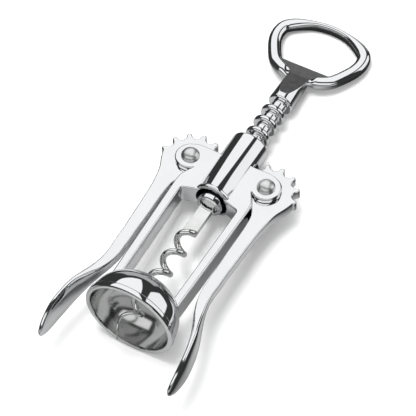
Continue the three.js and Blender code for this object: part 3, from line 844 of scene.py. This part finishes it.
def make_coil():
    """The right-hand helix, tapering and gathering towards its tip."""
    rings = []
    per_turn = 48
    step = COIL_PITCH / per_turn
    count = round((COIL_TOP - COIL_TIP) / step)
    rise = COIL_PITCH / (2 * math.pi)
    for i in range(count + 1):
        y = COIL_TIP + step * i
        below = max(0, COIL_EVEN_Y - y)
        slack = 0.5 * below * below / (below + 3)
        turning = 1 - 0.5 * (below * below + 6 * below) / (below + 3) ** 2
        a = math.pi / 2 + (y + slack - COIL_RIGHT_Y) / rise
        to_tip = min(1, max(0, (y - COIL_TIP) / COIL_TAPER))
        wire = WIRE_RADIUS * max(TIP_WIRE_SHARE, to_tip ** 0.8)
        to_top = min(1, max(0, (COIL_TOP - y) / 4))
        at_tip = TIP_COIL_SHARE + (1 - TIP_COIL_SHARE) * ease((y - COIL_TIP) / COIL_GATHER)
        at_top = TOP_COIL_SHARE + (1 - TOP_COIL_SHARE) * math.sqrt(to_top)
        spread = at_top * at_tip
        radius = (COIL_RADIUS + (WIRE_RADIUS - wire) * 0.9) * spread
        outward = Vector((math.sin(a), 0, math.cos(a)))
        around = radius * turning
        way = Vector((math.cos(a) * around, rise, -math.sin(a) * around)).normalized()
        centre = outward * radius
        centre.y = y
        rings.append(section(centre, outward, way.cross(outward), wire, wire, 2, 24))
    return skin("worm_wire", rings)


def make_worm():
    obj = make_coil()
    shank = fillet([
        (-SHANK_HALF_WIDE, SHANK_LOW), (SHANK_HALF_WIDE, SHANK_LOW),
        (SHANK_HALF_WIDE, SHANK_TOP), (TANG_HALF, SHANK_TOP),
        (TANG_HALF, TANG_TOP), (-TANG_HALF, TANG_TOP),
        (-TANG_HALF, SHANK_TOP), (-SHANK_HALF_WIDE, SHANK_TOP),
    ], [0.9, 0.9, 0.4, 0.2, 0.3, 0.3, 0.2, 0.4], 4)
    boolean(obj, plate("shank", shank, -SHANK_HALF_THICK, SHANK_HALF_THICK, SHANK_BEVEL), "UNION")
    finish(obj, wire_steel)
    return smooth(obj, 35)


def make_pin(name, radius, half, at):
    edge = 0.2
    obj = lathe(name, [(0, -half), (radius - edge, -half), (radius, -half + edge),
                       (radius, half - edge), (radius - edge, half), (0, half)], 40)
    obj.data.transform(Matrix.Rotation(math.pi / 2, 4, "X"))
    obj.data.transform(Matrix.Translation(at))
    finish(obj, steel_and_painted_shade)
    return smooth(obj, 40)


# ---------------------------------------------------------------- assembly

def fit(obj, node, body):
    """Sets a piece in place of its CAD node, on its body."""
    place(obj)
    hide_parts(node)
    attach(obj, body)


right_lever = make_lever("lever_arm_right")
left_lever = flip_x(copy_of(right_lever, "lever_arm_left"))
right_rivet = make_rivet("rivet_right")
left_rivet = flip_x(copy_of(right_rivet, "rivet_left"))

fit(make_frame(), "frame", "frame_body")
fit(make_bell(), "bell", "frame_body")
fit(right_lever, "lever_right", "right_lever_body")
fit(left_lever, "lever_left", "left_lever_body")
fit(right_rivet, "pivot_rivet_right", "frame_body")
fit(left_rivet, "pivot_rivet_left", "frame_body")
fit(make_spindle(), "rack_spindle", "spindle_body")
fit(make_collar(), "stop_collar", "collar_body")
fit(make_handle(), "opener_handle", "spindle_body")
fit(make_worm(), "worm", "spindle_body")
fit(make_pin("worm_cross_pin", 0.9, 3.3, (0, 73, 0)), "worm_pin", "spindle_body")

# ---------------------------------------------------------------- floor and backdrop, in metres

FLOOR_RADIUS = 1.6
WALL_RADIUS = 4
MIRRORED_RADIUS = 0.15
MIRRORED_MIDDLE = (0, -0.045, 0)
MIRRORED_NARROWING = (0.55, 1, 1)
ABOVE_FLOOR = 0.0001


def emission(name, colour, strength):
    """A surface that glows evenly."""
    material = bpy.data.materials.new(name)
    material.use_nodes = True
    nodes = material.node_tree.nodes
    nodes.remove(nodes["Principled BSDF"])
    glow = nodes.new("ShaderNodeEmission")
    glow.inputs["Color"].default_value = (*colour, 1)
    glow.inputs["Strength"].default_value = strength
    material.node_tree.links.new(glow.outputs["Emission"], nodes["Material Output"].inputs["Surface"])
    return material


def circle(radius, height, sides):
    turns = [2 * math.pi * i / sides for i in range(sides)]
    return [Vector((radius * math.cos(a), radius * math.sin(a), height)) for a in turns]


def disc(name, radius, height, sides=96):
    return mesh_object(name, circle(radius, height, sides), [tuple(range(sides))])


def matt(name, grey, glow=0.0):
    material = bpy.data.materials.new(name)
    material.use_nodes = True
    shader = material.node_tree.nodes["Principled BSDF"]
    shader.inputs["Base Color"].default_value = (grey, grey, grey, 1)
    shader.inputs["Roughness"].default_value = 0.9
    shader.inputs["Specular IOR Level"].default_value = 0.1
    shader.inputs["Emission Color"].default_value = (1, 1, 1, 1)
    shader.inputs["Emission Strength"].default_value = glow
    return material


def painted_light_patch(name, near, far, inner, outer, narrow):
    """Matt paper with painted light: its grey falls from near to far between two distances from the
    middle, measured along the tool, as a painted falloff of light. Across it the patch is narrower by a
    factor."""
    material = matt(name, near)
    nodes = material.node_tree.nodes
    links = material.node_tree.links
    coords = nodes.new("ShaderNodeTexCoord")
    stretch = nodes.new("ShaderNodeVectorMath")
    stretch.operation = "MULTIPLY"
    stretch.inputs[1].default_value = (narrow, 1, 0)
    links.new(coords.outputs["Object"], stretch.inputs[0])
    distance = nodes.new("ShaderNodeVectorMath")
    distance.operation = "LENGTH"
    links.new(stretch.outputs["Vector"], distance.inputs[0])
    fade = nodes.new("ShaderNodeMapRange")
    fade.interpolation_type = "SMOOTHSTEP"
    fade.inputs["From Min"].default_value = inner
    fade.inputs["From Max"].default_value = outer
    fade.inputs["To Min"].default_value = near
    fade.inputs["To Max"].default_value = far
    links.new(distance.outputs["Value"], fade.inputs["Value"])
    links.new(fade.outputs["Result"], nodes["Principled BSDF"].inputs["Base Color"])
    return material


# the floor is pale; the chrome mirrors instead an oval patch with painted light, pale under the bell
# and the levers and painted dark away from them, so that the outer edges and the handle get dark
# outlines
floor = disc("floor", FLOOR_RADIUS, 0)
floor.data.materials.append(matt("floor", 0.9, 0.15))
floor.visible_glossy = False
floor.visible_shadow = False
mirrored_floor_painted_light = disc("mirrored_floor_painted_light", MIRRORED_RADIUS, ABOVE_FLOOR)
mirrored_floor_painted_light.location = MIRRORED_MIDDLE
mirrored_floor_painted_light.scale = MIRRORED_NARROWING
# the patch's grey is painted light: pale near the tool and painted dark further out
painted_light_oval = painted_light_patch("mirrored_floor_painted_light", near=0.45, far=0.02, inner=0.095, outer=0.14, narrow=1.5)
mirrored_floor_painted_light.data.materials.append(painted_light_oval)
mirrored_floor_painted_light.visible_camera = False
mirrored_floor_painted_light.visible_diffuse = False
mirrored_floor_painted_light.visible_shadow = False

# a pale wall all round, seen only behind the object and never in its reflections
wall = skin("wall", [circle(WALL_RADIUS, height, 64) for height in (-0.3, 4.0)])
wall.data.materials.append(emission("wall", (0.95, 0.95, 0.95), 1.0))
wall.visible_glossy = False
wall.visible_diffuse = False
wall.visible_shadow = False

# ---------------------------------------------------------------- light

def panel(name, direction, distance, width, height, power):
    """A rectangular light aimed at the object. It lights the scene but isn't seen in the chrome,
    which mirrors the two windows of the world instead."""
    data = bpy.data.lights.new(name, "AREA")
    data.shape = "RECTANGLE"
    data.size = width
    data.size_y = height
    data.energy = power
    obj = bpy.data.objects.new(name, data)
    bpy.context.scene.collection.objects.link(obj)
    way = Vector(direction).normalized()
    obj.location = way * distance
    obj.rotation_euler = (-way).to_track_quat("-Z", "Y").to_euler()
    obj.visible_camera = False
    obj.visible_glossy = False


# name, direction, distance, width and height in metres, watts
panel("key", (-0.12, 0.0, 1.0), 1.1, 0.42, 0.42, 8.6)
panel("fill", (0.0, 0.0, 1.0), 1.4, 2.4, 2.4, 7.0)

world = bpy.data.worlds.new("studio")
bpy.context.scene.world = world
world.use_nodes = True
sky_nodes = world.node_tree.nodes
sky_links = world.node_tree.links
sky_way = sky_nodes.new("ShaderNodeTexCoord").outputs["Generated"]


def sky_side(normal, softness):
    """1 on the side of the sky that normal points to, fading to 0 across its edge."""
    dot = sky_nodes.new("ShaderNodeVectorMath")
    dot.operation = "DOT_PRODUCT"
    dot.inputs[1].default_value = Vector(normal).normalized()
    sky_links.new(sky_way, dot.inputs[0])
    ramp = sky_nodes.new("ShaderNodeMapRange")
    ramp.interpolation_type = "SMOOTHSTEP"
    ramp.inputs["From Min"].default_value = -softness
    ramp.inputs["From Max"].default_value = softness
    sky_links.new(dot.outputs["Value"], ramp.inputs["Value"])
    return ramp.outputs["Result"]


def sky_math(operation, a, b):
    node = sky_nodes.new("ShaderNodeMath")
    node.operation = operation
    for socket, value in zip(node.inputs, (a, b)):
        if isinstance(value, (int, float)):
            socket.default_value = value
        else:
            sky_links.new(value, socket)
    return node.outputs["Value"]


def sky_pane(corners, softness, brightness):
    """A bright pane of the world, bounded by great circles through its corner directions,
    which are listed in order round it."""
    middle = sum((Vector(corner).normalized() for corner in corners), Vector())
    mask = brightness
    for a, b in zip(corners, corners[1:] + corners[:1]):
        inwards = Vector(a).cross(Vector(b))
        if inwards.dot(middle) < 0:
            inwards.negate()
        mask = sky_math("MULTIPLY", mask, sky_side(inwards, softness))
    return mask


left_window = sky_pane([
    (-0.64, 0.72, 0.26), (-0.21, 0.95, 0.21), (0.05, 0.80, 0.60),
    (0.37, 0.10, 0.92), (-0.85, 0.10, 0.52),
], 0.012, 1.0)
right_window = sky_pane([
    (0.29, 0.84, 0.45), (0.36, 0.93, 0.08), (0.62, 0.78, -0.13),
    (0.95, 0.30, 0.10), (0.48, 0.30, 0.83),
], 0.02, 0.95)
far_wall = sky_pane([
    (-0.55, 0.83, 0.06), (0.1, 1.0, 0.06), (0.1, 0.95, -0.4), (-0.7, 0.65, -0.4),
], 0.03, 0.4)
near_sky = sky_pane([
    (-0.6, -0.2, 0.7), (0.75, -0.15, 0.6), (0.6, -0.5, 0.5), (-0.6, -0.55, 0.5),
], 0.05, 1.0)
near_wall = sky_pane([
    (-0.8, -0.6, 0.2), (0.95, -0.35, 0.3), (0.9, -0.4, -0.15), (-0.7, -0.7, -0.15),
], 0.08, 0.4)
SKY_BASE = 0.04
sky_light = SKY_BASE
for pane in (left_window, right_window, far_wall, near_sky, near_wall):
    sky_light = sky_math("ADD", sky_light, pane)
sky_links.new(sky_light, sky_nodes["Background"].inputs["Strength"])
sky_nodes["Background"].inputs["Color"].default_value = (1, 1, 1, 1)

# ---------------------------------------------------------------- camera

CAMERA_AZIMUTH = 36.86
CAMERA_ELEVATION = 57.43
CAMERA_ROLL = -8.85
CAMERA_DISTANCE = 0.9030
CAMERA_AIM = (-0.00068, -0.01359, 0.01200)
CAMERA_LENS = 179.9

camera_data = bpy.data.cameras.new("camera")
camera_data.lens = CAMERA_LENS
camera_data.sensor_width = 36
camera_data.clip_start = 0.01
camera = bpy.data.objects.new("camera", camera_data)
bpy.context.scene.collection.objects.link(camera)
azimuth = math.radians(CAMERA_AZIMUTH)
elevation = math.radians(CAMERA_ELEVATION)
level_reach = math.cos(elevation)
back = Vector((math.sin(azimuth) * level_reach, -math.cos(azimuth) * level_reach, math.sin(elevation)))
right = Vector((0, 0, 1)).cross(back).normalized()
up = back.cross(right)
level = Matrix((right, up, back)).transposed()
camera.matrix_world = (
    Matrix.Translation(Vector(CAMERA_AIM) + back * CAMERA_DISTANCE)
    @ level.to_4x4()
    @ Matrix.Rotation(math.radians(CAMERA_ROLL), 4, "Z")
)
bpy.context.scene.camera = camera

bpy.context.scene.view_settings.view_transform = "Standard"
